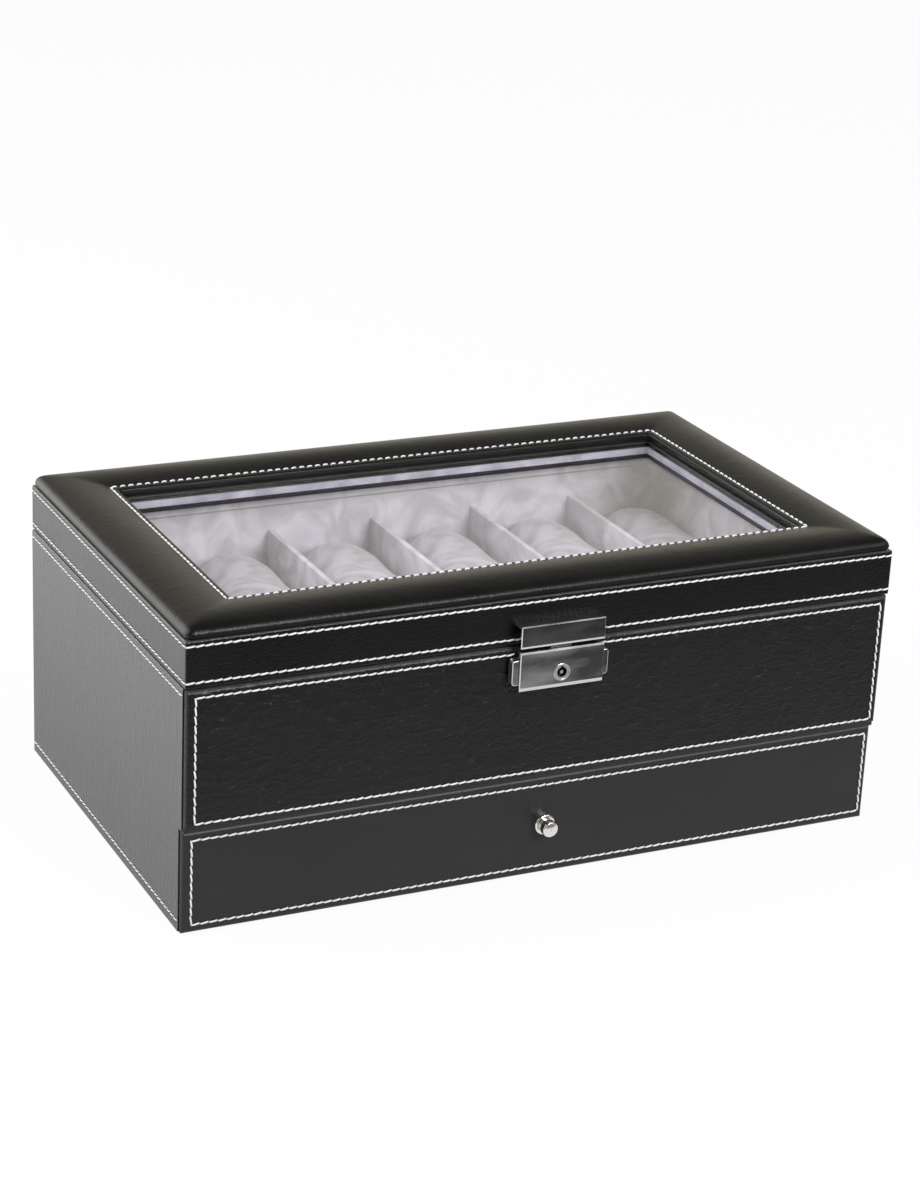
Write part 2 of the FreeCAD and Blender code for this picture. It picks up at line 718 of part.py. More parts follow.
# Key cylinder: barrel with a flange behind the plate. The keyhole is round with a pin in its middle,
# for a hollow key, and a slot above the pin for the key's bit.
barrel_front = lock_front - barrel_proud
flange_front = lock_plate_back + barrel_flange_fit
key_cylinder = rod_along_y(0, barrel_height, barrel_radius, barrel_front, barrel_front + barrel_length)
barrel_flange = rod_along_y(0, barrel_height, barrel_flange_radius,
                            flange_front, flange_front + barrel_flange_thickness)
keyhole_start = barrel_front - cut_margin
keyhole_end = barrel_front + keyhole_depth
keyhole = rod_along_y(0, barrel_height, keyhole_radius, keyhole_start, keyhole_end)
keyhole_slot = block(-keyhole_slot_width / 2, keyhole_slot_width / 2, keyhole_start, keyhole_end,
                     barrel_height, barrel_height + keyhole_slot_reach)
key_pin = rod_along_y(0, barrel_height, key_pin_radius, barrel_front + key_pin_drop, keyhole_end)
key_cylinder = key_cylinder.fuse(barrel_flange).removeSplitter()
key_cylinder = key_cylinder.cut(keyhole.fuse(keyhole_slot)).fuse(key_pin).removeSplitter()

# Latch slider: a web behind the barrel, with a finger ear at each end.
slider_top = lock_wall_high - lock_wall - slider_top_fit
slider_bottom = lock_wall_low + lock_wall + slider_floor_fit + latch_travel
slider_web = block(-slider_half_width, slider_half_width, slider_front, slider_back,
                   slider_bottom, slider_top)
ear_front = lock_plate_back + ear_front_fit
ear_bottom = lock_bottom + ear_rise
ears = []
for side in (-1, 1):
    ear_edges = sorted((side * (ear_half_width - ear_width), side * ear_half_width))
    ear = block(ear_edges[0], ear_edges[1], ear_front, slider_back, ear_bottom, ear_bottom + ear_height)
    ear = round_edges(ear, ear_corner_radius,
                      lambda edge: edge.BoundBox.YLength > slider_thickness
                      and abs(edge.BoundBox.Center.x) > ear_half_width - near)
    ears.append(round_edges(ear, ear_edge_radius, lambda edge: edge.BoundBox.YMax < ear_front + near))
nose_middle = slider_top - nose_height
slider_nose = block(-nose_half_width, nose_half_width, slider_front - nose_reach, slider_front,
                    nose_middle - nose_height / 2, nose_middle + nose_height / 2)
latch_slider = slider_web.fuse(ears + [slider_nose]).removeSplitter()
pocket_half_width = spring_radius + spring_wire_radius + spring_pocket_fit
pocket_top = slider_bottom + spring_pocket_height
for side in (-1, 1):
    latch_slider = latch_slider.cut(block(side * spring_place - pocket_half_width,
                                          side * spring_place + pocket_half_width,
                                          slider_front - cut_margin, slider_back + cut_margin,
                                          slider_bottom - cut_margin, pocket_top))

# Latch springs: two small coils that stand on the housing's floor, in the slider's pockets.
spring_foot = lock_wall_low + lock_wall
spring_length = pocket_top - spring_end_fit - spring_foot
spring_rise = spring_length - 2 * spring_wire_radius
spring_y = (slider_front + slider_back) / 2


def coil_spring(x):
    helix = Part.makeHelix(spring_rise / spring_turns, spring_rise, spring_radius)
    profile = Part.Wire(Part.makeCircle(spring_wire_radius, Vector(spring_radius, 0, 0), Vector(0, 1, 0)))
    coil = Part.Wire(helix).makePipeShell([profile], True, True)
    coil.translate(Vector(x, spring_y, spring_foot + spring_wire_radius))
    return coil


latch_springs = [coil_spring(-spring_place), coil_spring(spring_place)]


# Catch plate on the lid: a bent sheet with a hook that drops behind the lock's front plate.
catch_top = catch_bottom + catch_height
catch_outline = [
    (lock_front + catch_sheet, catch_bottom),
    (lock_front + sheet_edge_bevel, catch_bottom),
    (lock_front, catch_bottom + catch_bevel),
    (lock_front, catch_top - catch_top_bevel),
    (lock_front + catch_top_bevel, catch_top),
    (front_plane, catch_top),
    (front_plane, catch_top - catch_sheet),
    (lock_front + catch_sheet, catch_top - catch_sheet),
]
catch_face = extrude_along_x(catch_outline, -lock_half_width, lock_half_width)
catch_face = catch_face.common(sheet_plan(front_plane, catch_bottom, catch_top))
catch_back = block(-catch_back_half_width, catch_back_half_width, front_plane - catch_sheet, front_plane,
                   catch_top - catch_back_height, catch_top)
hook_bottom = lock_top - hook_reach
hook_top = catch_bottom + catch_bevel + hook_bridge
hook = block(-hook_half_width, hook_half_width, hook_front, hook_back, hook_bottom, hook_top)
bridge = block(-hook_half_width, hook_half_width, lock_front + catch_sheet, hook_back,
               hook_top - hook_bridge, hook_top)
catch_plate = catch_face.fuse([catch_back, hook, bridge]).removeSplitter()


# Screws of the lock and the catch come from inside the boards.
lock_screws = [countersunk_screw(side * lock_screw_place, lock_bottom + lock_screw_rise,
                                 front_plane - lock_back_thickness / 2, front_board_inner)
               for side in (-1, 1)]
catch_screws = [countersunk_screw(side * catch_screw_place, catch_bottom + catch_screw_rise,
                                  front_plane - catch_sheet / 2, lid_board_front_inner)
                for side in (-1, 1)]
lock_case = lock_case.cut(lock_screws)
upper_front_panel = upper_front_panel.cut(lock_screws)
upper_front_board = upper_front_board.cut(lock_screws)
catch_plate = catch_plate.cut(catch_screws)
lid_leather = lid_leather.cut(catch_screws)
lid_front_board = lid_front_board.cut(catch_screws)


# Butt hinges on the back: the case leaf has the two outer knuckles, the lid leaf the middle one.
knuckle_length = (hinge_length - 2 * hinge_knuckle_gap) / 3
middle_knuckle = (-knuckle_length / 2, knuckle_length / 2)
outer_knuckles = [(-hinge_length / 2, -hinge_length / 2 + knuckle_length),
                  (hinge_length / 2 - knuckle_length, hinge_length / 2)]
hinge_hole_radius = hinge_pin_radius + hinge_pin_fit
leaf_back = back_plane + hinge_leaf_thickness
leaf_notch_rise = hinge_knuckle_radius + hinge_leaf_notch


def hinge_leaf(centre_x, direction, own_knuckles, other_knuckles):
    """direction is -1 for the leaf that hangs down on the case and 1 for the lid's leaf."""
    z_far = hinge_axis_z + direction * hinge_leaf_height
    z_near = hinge_axis_z
    leaf = block(centre_x - hinge_length / 2, centre_x + hinge_length / 2, back_plane, leaf_back,
                 min(z_near, z_far), max(z_near, z_far))
    for low, high in own_knuckles:
        leaf = leaf.fuse(rod_along_x(hinge_axis_y, hinge_axis_z, hinge_knuckle_radius,
                                     centre_x + low, centre_x + high))
    for low, high in other_knuckles:
        leaf = leaf.cut(block(centre_x + low - hinge_knuckle_gap, centre_x + high + hinge_knuckle_gap,
                              back_plane - cut_margin, hinge_axis_y + leaf_notch_rise,
                              hinge_axis_z - leaf_notch_rise, hinge_axis_z + leaf_notch_rise))
    pin_way = rod_along_x(hinge_axis_y, hinge_axis_z, hinge_hole_radius,
                          centre_x - hinge_length, centre_x + hinge_length)
    return leaf.cut(pin_way).removeSplitter()


def hinge_screws(z):
    return [countersunk_screw(side * hinge_place + offset, z, leaf_back - hinge_screw_length, leaf_back)
            for side in (-1, 1) for offset in (-hinge_screw_spread, hinge_screw_spread)]


case_hinge_screws = hinge_screws(hinge_axis_z - hinge_screw_rise)
lid_hinge_screws = hinge_screws(hinge_axis_z + hinge_screw_rise)
hinge_leaves = {}
hinge_pins = []
for side_name, side in (("left", -1), ("right", 1)):
    centre_x = side * hinge_place
    case_leaf = hinge_leaf(centre_x, -1, outer_knuckles, [middle_knuckle])
    lid_leaf = hinge_leaf(centre_x, 1, [middle_knuckle], outer_knuckles)
    hinge_leaves[side_name + "_case_hinge_leaf"] = case_leaf.cut(case_hinge_screws)
    hinge_leaves[side_name + "_lid_hinge_leaf"] = lid_leaf.cut(lid_hinge_screws)
    pin = rod_along_x(hinge_axis_y, hinge_axis_z, hinge_pin_radius,
                      centre_x - hinge_length / 2 - hinge_pin_head,
                      centre_x + hinge_length / 2 + hinge_pin_head)
    hinge_pins.append(pin)
case_leather = case_leather.cut(case_hinge_screws)
back_board = back_board.cut(case_hinge_screws)
lid_leather = lid_leather.cut(lid_hinge_screws)
lid_back_board = lid_back_board.cut(lid_hinge_screws)


# Every piece goes to a file of its own name.
pieces = {
    "base_felt": base_felt,
    "base_board": base_board,
    "left_side_board": left_side_board,
    "right_side_board": right_side_board,
    "back_board": back_board,
    "upper_front_board": upper_front_board,
    "tray_board": tray_board,
    "case_leather": case_leather,
    "upper_front_panel": upper_front_panel,
    "tray_lining": tray_lining,
    "long_divider": long_divider,
    "cross_dividers": group(cross_dividers),
    "lid_front_board": lid_front_board,
    "lid_back_board": lid_back_board,
    "lid_left_board": lid_left_board,
    "lid_right_board": lid_right_board,
    "lid_top_board": lid_top_board,
    "lid_leather": lid_leather,
    "lid_lining": lid_lining,
    "window_glass": window_glass,
    "pane_frame": pane_frame,
    "window_bezel": window_bezel,
    "ring_board": ring_board,
    "padded_ring": padded_ring,
    "drawer_front_panel": drawer_front_panel,
    "drawer_front_board": drawer_front_board,
    "drawer_left_side": drawer_left_side,
    "drawer_right_side": drawer_right_side,
    "drawer_back": drawer_back,
    "drawer_floor": drawer_floor,
    "drawer_lining": drawer_lining,
    "drawer_dividers": group([drawer_long_divider] + drawer_cross_dividers),
    "drawer_knob": drawer_knob,
    "knob_screw": knob_screw,
    "lock_case": lock_case,
    "lock_screws": group(lock_screws),
    "latch_slider": latch_slider,
    "latch_springs": group(latch_springs),
    "key_cylinder": key_cylinder,
    "catch_plate": catch_plate,
    "catch_screws": group(catch_screws),
    "case_hinge_screws": group(case_hinge_screws),
    "lid_hinge_screws": group(lid_hinge_screws),
    "hinge_pins": group(hinge_pins),
}
pieces.update(hinge_leaves)
pieces.update(pillows)
for name, shape in pieces.items():
    save(name, shape)
print(len(pieces), "pieces")
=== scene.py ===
import math

import bpy
import numpy as np
from mathutils import Matrix, Vector


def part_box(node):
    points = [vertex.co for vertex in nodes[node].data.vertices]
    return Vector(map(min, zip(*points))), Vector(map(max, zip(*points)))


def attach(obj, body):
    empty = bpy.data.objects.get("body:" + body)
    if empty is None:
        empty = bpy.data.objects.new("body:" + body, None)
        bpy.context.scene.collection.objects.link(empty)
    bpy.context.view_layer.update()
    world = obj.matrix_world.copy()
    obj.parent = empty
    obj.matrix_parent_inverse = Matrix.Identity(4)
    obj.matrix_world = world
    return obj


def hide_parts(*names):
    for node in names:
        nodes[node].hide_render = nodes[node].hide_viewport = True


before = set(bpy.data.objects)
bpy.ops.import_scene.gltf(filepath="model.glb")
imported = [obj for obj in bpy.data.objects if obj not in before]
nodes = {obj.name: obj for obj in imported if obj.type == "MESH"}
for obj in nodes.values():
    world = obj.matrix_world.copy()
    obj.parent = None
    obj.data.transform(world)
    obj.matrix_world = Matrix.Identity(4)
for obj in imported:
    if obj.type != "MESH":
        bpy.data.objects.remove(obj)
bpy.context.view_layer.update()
scene = bpy.context.scene
scene.view_settings.view_transform = "Standard"


# Studio floor. A wide sheet of pale matt paper that keeps the box's soft shadow.
# It lies level with the felt that the box stands on. It glows: seen straight it is an even white, and in
# the leather's shine it is a painted reflection, brightest beside the left side but dim close to the box as
# painted shadow, and it fades towards the front.
def start_material(name, colour, roughness, metallic=0.0):
    """A material with its shader's plain values set. Returns the material and the shader."""
    material = bpy.data.materials.new(name)
    material.use_nodes = True
    shader = material.node_tree.nodes["Principled BSDF"]
    shader.inputs["Base Color"].default_value = (*colour, 1)
    shader.inputs["Roughness"].default_value = roughness
    shader.inputs["Metallic"].default_value = metallic
    return material, shader


def feed(tree, socket, value):
    """Links a socket to another one, or gives it a plain value. A colour has three numbers."""
    if isinstance(value, bpy.types.NodeSocket):
        tree.links.new(value, socket)
    elif socket.type == "RGBA":
        socket.default_value = (*value, 1)
    else:
        socket.default_value = value


def calculated(tree, operation, first, second):
    """The result of a sum on two sockets or plain values."""
    node = tree.nodes.new("ShaderNodeMath")
    node.operation = operation
    feed(tree, node.inputs[0], first)
    feed(tree, node.inputs[1], second)
    return node.outputs[0]


def mapped(tree, value, given_range, result_range=(0.0, 1.0)):
    """The value carried from one range to the other, and held at its ends."""
    node = tree.nodes.new("ShaderNodeMapRange")
    feed(tree, node.inputs["Value"], value)
    for name, end in zip(("From Min", "From Max", "To Min", "To Max"), (*given_range, *result_range)):
        feed(tree, node.inputs[name], end)
    return node.outputs["Result"]


def mixed_shaders(tree, share, first, second):
    """The first shader with a share of the second."""
    node = tree.nodes.new("ShaderNodeMixShader")
    for socket, value in zip(node.inputs, (share, first, second)):
        feed(tree, socket, value)
    return node.outputs[0]


def object_coordinates(tree):
    return tree.nodes.new("ShaderNodeTexCoord").outputs["Object"]


def separated(tree, vector):
    parts = tree.nodes.new("ShaderNodeSeparateXYZ")
    feed(tree, parts.inputs[0], vector)
    return parts.outputs


def sight_masks(tree):
    """Two masks: rays from the camera, straight or through glass, and rays seen in a shine."""
    path = tree.nodes.new("ShaderNodeLightPath").outputs
    after_shine = calculated(tree, "GREATER_THAN", path["Glossy Depth"], 0.5)
    mirrored = calculated(tree, "MULTIPLY", path["Is Transmission Ray"], after_shine)
    straight = calculated(tree, "SUBTRACT", path["Is Transmission Ray"], mirrored)
    return (calculated(tree, "MAXIMUM", path["Is Camera Ray"], straight),
            calculated(tree, "MAXIMUM", path["Is Glossy Ray"], mirrored))


floor_half = 4.0
paper_glow_share = 0.90
paper_glow_strength = 1.045
front_fade_reach, front_fade_levels = (-0.42, -0.16), (0.05, 1.0)
left_rise_reach, left_rise_levels = (-0.19, -0.32), (0.85, 1.8)
paper, paper_shader = start_material("pale_paper", (0.48, 0.48, 0.48), roughness=0.9)
paper_shader.inputs["Specular IOR Level"].default_value = 0.0
paper_tree = paper.node_tree
paper_glow = paper_tree.nodes.new("ShaderNodeEmission")
paper_place = separated(paper_tree, object_coordinates(paper_tree))
# Painted reflection: in shine the paper's glow fades towards the front, and is dimmer close to the box's
# left side as painted shadow.
front_fade = mapped(paper_tree, paper_place["Y"], front_fade_reach, front_fade_levels)
left_rise = mapped(paper_tree, paper_place["X"], left_rise_reach, left_rise_levels)
direct, in_shine = sight_masks(paper_tree)
shine_strength = calculated(paper_tree, "MULTIPLY", front_fade, left_rise)
direct_strength = calculated(paper_tree, "MULTIPLY", direct, paper_glow_strength)
feed(paper_tree, paper_glow.inputs["Strength"],
     calculated(paper_tree, "MAXIMUM", direct_strength, shine_strength))
paper_seen = calculated(paper_tree, "MAXIMUM", direct, in_shine)
glow_share = calculated(paper_tree, "MULTIPLY", paper_seen, paper_glow_share)
feed(paper_tree, paper_tree.nodes["Material Output"].inputs["Surface"],
     mixed_shaders(paper_tree, glow_share, paper_shader.outputs[0], paper_glow.outputs[0]))
floor_mesh = bpy.data.meshes.new("studio_floor")
floor_mesh.from_pydata([(-floor_half, -floor_half, 0), (floor_half, -floor_half, 0),
                        (floor_half, floor_half, 0), (-floor_half, floor_half, 0)], [], [(0, 1, 2, 3)])
floor_mesh.materials.append(paper)
floor = bpy.data.objects.new("studio_floor", floor_mesh)
scene.collection.objects.link(floor)


# Studio air and lamps. White paper walls. The shiny surfaces mirror a warm grey room, which is
# pale low down at the back, dark overhead and dark in front. Soft lamps hang on four sides.
air_light = 0.55
air_in_gloss = (0.62, 0.585, 0.48)
overhead_reach, overhead_levels = (0.0, 0.75), (1.75, 0.15)
front_reach, front_levels = (-0.3, 0.2), (0.25, 1.0)
air = bpy.data.worlds.new("studio_air")
air.use_nodes = True
air_tree = air.node_tree
air_tree.nodes["Background"].inputs["Strength"].default_value = air_light
air_tree.nodes["Background"].inputs["Color"].default_value = (1, 1, 1, 1)
air_surface = air_tree.nodes["Background"].outputs[0]
air_way = separated(air_tree, air_tree.nodes.new("ShaderNodeTexCoord").outputs["Generated"])
overhead_level = mapped(air_tree, air_way["Z"], overhead_reach, overhead_levels)
front_level = mapped(air_tree, air_way["Y"], front_reach, front_levels)
room_level = calculated(air_tree, "MULTIPLY", overhead_level, front_level)
for rays, colour, level in zip(sight_masks(air_tree), ((1, 1, 1), air_in_gloss), (1.0, room_level)):
    air_seen = air_tree.nodes.new("ShaderNodeBackground")
    feed(air_tree, air_seen.inputs["Color"], colour)
    feed(air_tree, air_seen.inputs["Strength"], level)
    air_surface = mixed_shaders(air_tree, rays, air_surface, air_seen.outputs[0])
feed(air_tree, air_tree.nodes["World Output"].inputs["Surface"], air_surface)
scene.world = air

lamp_aim = Vector((0, 0, 0.08))
for name, place, size, power in (("front_lamp", (0.35, -1.5, 0.95), 0.6, 19.0),
                                 ("left_soft_lamp", (-1.15, 0.25, 0.95), 1.1, 14.5),
                                 ("raking_lamp", (-0.95, 1.25, 0.45), 1.0, 9.0),
                                 ("right_fill_lamp", (1.3, -1.1, 1.2), 0.9, 5.0)):
    lamp_data = bpy.data.lights.new(name, "AREA")
    lamp_data.size = size
    lamp_data.energy = power
    lamp = bpy.data.objects.new(name, lamp_data)
    lamp.location = place
    lamp.rotation_mode = "QUATERNION"
    lamp.rotation_quaternion = (lamp_aim - lamp.location).to_track_quat("-Z", "Y")
    scene.collection.objects.link(lamp)


# Camera. It stands to the left of the box and above it, turned to it as in the photograph,
# with a long lens.
camera_place = Vector((-0.5483, -1.1236, 0.5766))
camera_turn = math.radians(26.149)
camera_tip = math.radians(21.120)
camera_roll = math.radians(2.678)
camera_lens = 88.02
ahead = Vector((math.sin(camera_turn) * math.cos(camera_tip),
                math.cos(camera_turn) * math.cos(camera_tip), -math.sin(camera_tip)))
level_right = Vector((math.cos(camera_turn), -math.sin(camera_turn), 0))
level_up = level_right.cross(ahead)
right = math.cos(camera_roll) * level_right + math.sin(camera_roll) * level_up
up = math.cos(camera_roll) * level_up - math.sin(camera_roll) * level_right
camera_data = bpy.data.cameras.new("camera")
camera_data.lens = camera_lens
camera = bpy.data.objects.new("camera", camera_data)
camera.matrix_world = Matrix.Translation(camera_place) @ Matrix((right, up, -ahead)).transposed().to_4x4()
scene.collection.objects.link(camera)
scene.camera = camera


# Case. Fibreboard walls, floor, tray and back, cut square and glued together under the leather.
# Bare board shows at the drawer's sides and, with the lid or the drawer open, inside.
def noise_on(tree, coordinates, size, detail):
    noise = tree.nodes.new("ShaderNodeTexNoise")
    feed(tree, noise.inputs["Vector"], coordinates)
    feed(tree, noise.inputs["Scale"], size)
    feed(tree, noise.inputs["Detail"], detail)
    return noise


def blended_colours(tree, mask, first, second):
    """The first colour where the mask is 0 and the second where it is 1."""
    mix = tree.nodes.new("ShaderNodeMix")
    mix.data_type = "RGBA"
    feed(tree, mix.inputs["Factor"], mask)
    feed(tree, mix.inputs["A"], first)
    feed(tree, mix.inputs["B"], second)
    return mix.outputs["Result"]


def start_group(name, inputs, outputs):
    """A node group with named sockets: a colour where the name ends in Colour, a vector where
    the plain value is three other numbers, else a number. Returns the group and both its ends."""
    group = bpy.data.node_groups.new(name, "ShaderNodeTree")
    for label, value in inputs.items():
        if label.endswith("Colour"):
            kind, value = "NodeSocketColor", (*value, 1)
        else:
            kind = "NodeSocketVector" if isinstance(value, tuple) else "NodeSocketFloat"
        group.interface.new_socket(label, in_out="INPUT", socket_type=kind).default_value = value
    for label in outputs:
        kind = "NodeSocketColor" if label == "Colour" else "NodeSocketFloat"
        group.interface.new_socket(label, in_out="OUTPUT", socket_type=kind)
    return group, group.nodes.new("NodeGroupInput").outputs, group.nodes.new("NodeGroupOutput").inputs


def coat_with(group, values, tree, shader, bump_distance=0.0):
    """Places a group in a material with its own values, and leads its results to the shader."""
    node = tree.nodes.new("ShaderNodeGroup")
    node.node_tree = group
    for label, value in values.items():
        feed(tree, node.inputs[label], value)
    feed(tree, shader.inputs["Base Color"], node.outputs["Colour"])
    if "Roughness" in node.outputs:
        feed(tree, shader.inputs["Roughness"], node.outputs["Roughness"])
    if "Height" in node.outputs:
        bump = tree.nodes.new("ShaderNodeBump")
        bump.inputs["Distance"].default_value = bump_distance
        feed(tree, bump.inputs["Height"], node.outputs["Height"])
        feed(tree, shader.inputs["Normal"], bump.outputs["Normal"])


def build_fleck_group():
    """Fine cloudy flecks of two colours, for board, paint, felt, thread and moulded plastic."""
    group, given, made = start_group("flecks", {
        "Ground Colour": (0.2, 0.2, 0.2), "Fleck Colour": (0.3, 0.3, 0.3), "Size": 900.0, "Detail": 4.0},
        ["Colour"])
    flecks = noise_on(group, object_coordinates(group), given["Size"], given["Detail"])
    feed(group, made["Colour"],
         blended_colours(group, flecks.outputs["Fac"], given["Ground Colour"], given["Fleck Colour"]))
    return group


fleck_group = build_fleck_group()


def flecked_material(name, ground, fleck, size, detail, roughness, shine=0.5):
    material, shader = start_material(name, ground, roughness)
    shader.inputs["Specular IOR Level"].default_value = shine
    coat_with(fleck_group, {"Ground Colour": ground, "Fleck Colour": fleck, "Size": size,
                            "Detail": detail}, material.node_tree, shader)
    return material


def cover(names, material):
    """Gives the material to CAD nodes as they are."""
    for name in names:
        mesh = nodes[name].data
        mesh.materials.clear()
        mesh.materials.append(material)


fibreboard = flecked_material("fibreboard", (0.19, 0.12, 0.07), (0.30, 0.21, 0.12),
                              size=900, detail=6, roughness=0.85)
cover(["base_board", "left_side_board", "right_side_board", "back_board", "upper_front_board",
       "tray_board", "lid_front_board", "lid_back_board", "lid_left_board", "lid_right_board",
       "pane_frame", "ring_board", "drawer_front_board", "drawer_left_side", "drawer_right_side",
       "drawer_back", "drawer_floor"], fibreboard)


# Lid top board. The same board with an opening for the window, glued on the lid's four walls.
# It is painted black, because its cut edge shows round the window.
black_paint = flecked_material("black_paint", (0.006, 0.006, 0.006), (0.014, 0.014, 0.015),
                               size=700, detail=4, roughness=0.6, shine=0.2)
cover(["lid_top_board"], black_paint)


# Base felt. A thin sheet of black felt, cut a little smaller than the case and glued under it,
# so that the box doesn't scratch what it stands on.
black_felt = flecked_material("black_felt", (0.010, 0.010, 0.010), (0.035, 0.035, 0.036),
                              size=1500, detail=4, roughness=1.0, shine=0.1)
cover(["base_felt"], black_felt)


# Case leather. Black leatherette, wrapped round sides, back and rim and glued down.
# The sides have a faint upright streak from the cloth backing.
def stretched_coordinates(tree, stretch):
    node = tree.nodes.new("ShaderNodeVectorMath")
    node.operation = "MULTIPLY"
    feed(tree, node.inputs[0], object_coordinates(tree))
    feed(tree, node.inputs[1], stretch)
    return node.outputs[0]


def own_normal(tree):
    """The parts of the object's own normal, before any bump."""
    return separated(tree, tree.nodes.new("ShaderNodeTexCoord").outputs["Normal"])


def build_leather_group():
    """Leatherette: fine pebble grain, longer creases, a slight change of tone, and a painted highlight
    colour where the surface faces up, as on rounded top edges."""
    group, given, made = start_group("leatherette", {
        "Colour": (0.01, 0.01, 0.01), "Tone Colour": (0.02, 0.02, 0.02),
        "Painted Highlight Colour": (0.05, 0.05, 0.05), "Painted Highlight Share": 0.0,
        "Grain Size": 900.0, "Grain Depth": 0.3, "Crease Stretch": (1, 1, 1), "Crease Size": 200.0,
        "Crease Depth": 0.3, "Roughness": 0.45, "Roughness Change": 0.1},
        ["Colour", "Roughness", "Height"])
    pebbles = group.nodes.new("ShaderNodeTexVoronoi")
    pebbles.feature = "SMOOTH_F1"
    pebbles.inputs["Smoothness"].default_value = 0.4
    feed(group, pebbles.inputs["Vector"], object_coordinates(group))
    feed(group, pebbles.inputs["Scale"], given["Grain Size"])
    pebble_height = calculated(group, "MULTIPLY", pebbles.outputs["Distance"], given["Grain Depth"])
    along_crease = stretched_coordinates(group, given["Crease Stretch"])
    creases = noise_on(group, along_crease, given["Crease Size"], detail=3)
    creases.inputs["Distortion"].default_value = 0.6
    off_crease = calculated(group, "SUBTRACT", creases.outputs["Fac"], 0.5)
    crease_fold = calculated(group, "ABSOLUTE", off_crease, 0)
    crease_height = calculated(group, "MULTIPLY", crease_fold, given["Crease Depth"])
    feed(group, made["Height"], calculated(group, "SUBTRACT", crease_height, pebble_height))
    tone = noise_on(group, along_crease, size=45, detail=4).outputs["Fac"]
    skin = blended_colours(group, tone, given["Colour"], given["Tone Colour"])
    # Painted highlight: surfaces that face up take the highlight colour, by the share given.
    painted_highlight_mask = mapped(group, own_normal(group)["Z"], (0.3, 0.8))
    painted_highlight_share = calculated(group, "MULTIPLY", painted_highlight_mask, given["Painted Highlight Share"])
    feed(group, made["Colour"], blended_colours(group, painted_highlight_share, skin, given["Painted Highlight Colour"]))
    off_middle = calculated(group, "SUBTRACT", tone, 0.5)
    change = calculated(group, "MULTIPLY", off_middle, given["Roughness Change"])
    feed(group, made["Roughness"], calculated(group, "ADD", given["Roughness"], change))
    return group


leather_group = build_leather_group()
leather_bump_distance = 0.0006


def leather_material(name, shine, glow, values):
    """Leatherette with its own grain. Shine is the surface film's, glow that of its fine nap."""
    material, shader = start_material(name, values["Colour"], values["Roughness"])
    shader.inputs["Specular IOR Level"].default_value = shine
    shader.inputs["Sheen Weight"].default_value = glow
    shader.inputs["Sheen Roughness"].default_value = 0.35
    coat_with(leather_group, values, material.node_tree, shader, leather_bump_distance)
    return material


case_leather = leather_material("case_leatherette", shine=0.46, glow=0.4, values={
    "Colour": (0.006, 0.006, 0.008), "Tone Colour": (0.018, 0.018, 0.022),
    "Grain Size": 1100.0, "Grain Depth": 0.25, "Crease Stretch": (0.4, 1.0, 0.12),
    "Crease Size": 420.0, "Crease Depth": 0.5, "Roughness": 0.32, "Roughness Change": 0.10})
cover(["case_leather"], case_leather)


# Case stitches. White waxed thread, sewn in one straight row near each edge of the sides.
# Each stitch arches out of the leather and dives back in at a slight slant.
white_thread = flecked_material("white_thread", (0.66, 0.66, 0.68), (0.90, 0.90, 0.90),
                                size=260, detail=3, roughness=0.6)
thread_radius = 0.00042
side_thread_radius = 0.00030
stitch_pitch = 0.0040
stitch_length = 0.0044
stitch_slant = math.radians(7)
slant_change = 0.25
scatter_per_stitch, scatter_per_point = 12.9898, 78.233
stitch_sides = 8
stitch_rings = 7
end_girth = 0.2
stitch_lift = 0.9
stitch_dive = 1.3


def stitch_shape(length, radius):
    """One stitch along +X on a surface that faces +Z: points, ring by ring."""
    points = []
    for ring in range(stitch_rings):
        share = 2 * ring / (stitch_rings - 1) - 1
        girth = radius * max(math.sqrt(1 - abs(share) ** 5), end_girth)
        height = radius * (stitch_lift - stitch_dive * share ** 4)
        for side in range(stitch_sides):
            turn = 2 * math.pi * side / stitch_sides
            points.append((share * length / 2, girth * math.cos(turn), height + girth * math.sin(turn)))
    return np.array(points)


def stitch_faces():
    faces = []
    for ring in range(stitch_rings - 1):
        low, high = ring * stitch_sides, (ring + 1) * stitch_sides
        for side in range(stitch_sides):
            beside = (side + 1) % stitch_sides
            faces.append((low + side, low + beside, high + beside, high + side))
    faces.append(tuple(range(stitch_sides))[::-1])
    faces.append(tuple(range((stitch_rings - 1) * stitch_sides, stitch_rings * stitch_sides)))
    return faces


def sew(name, rows, body, length=stitch_length, slant=stitch_slant, hidden=None):
    """Sews rows of stitches. A row is (start, end, outward normal); hidden(point) leaves one out.
    The thread on the box's sides and back is finer, and no two stitches slant quite alike."""
    front_shape = stitch_shape(length, thread_radius)
    side_shape = stitch_shape(length, side_thread_radius)
    faces_of_one = stitch_faces()
    points, faces = [], []
    for start, end, outward in rows:
        run = Vector(end) - Vector(start)
        count = max(1, round(run.length / stitch_pitch))
        along = run.normalized()
        outward = Vector(outward)
        across = outward.cross(along)
        shape = side_shape if outward.x or outward.y > 0 else front_shape
        for number in range(count):
            middle = Vector(start) + run * ((number + 0.5) / count)
            if hidden and hidden(middle):
                continue
            scatter = math.sin(scatter_per_stitch * number + scatter_per_point * len(points))
            lean = slant + slant_change * scatter * slant
            length_way = along * math.cos(lean) + across * math.sin(lean)
            width_way = across * math.cos(lean) - along * math.sin(lean)
            placed = shape @ np.array([length_way, width_way, outward]) + np.array(middle)
            faces += [tuple(len(points) + corner for corner in face) for face in faces_of_one]
            points += placed.tolist()
    mesh = bpy.data.meshes.new(name)
    mesh.from_pydata(points, [], faces)
    mesh.shade_smooth()
    mesh.materials.append(white_thread)
    piece = bpy.data.objects.new(name, mesh)
    scene.collection.objects.link(piece)
    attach(piece, body)


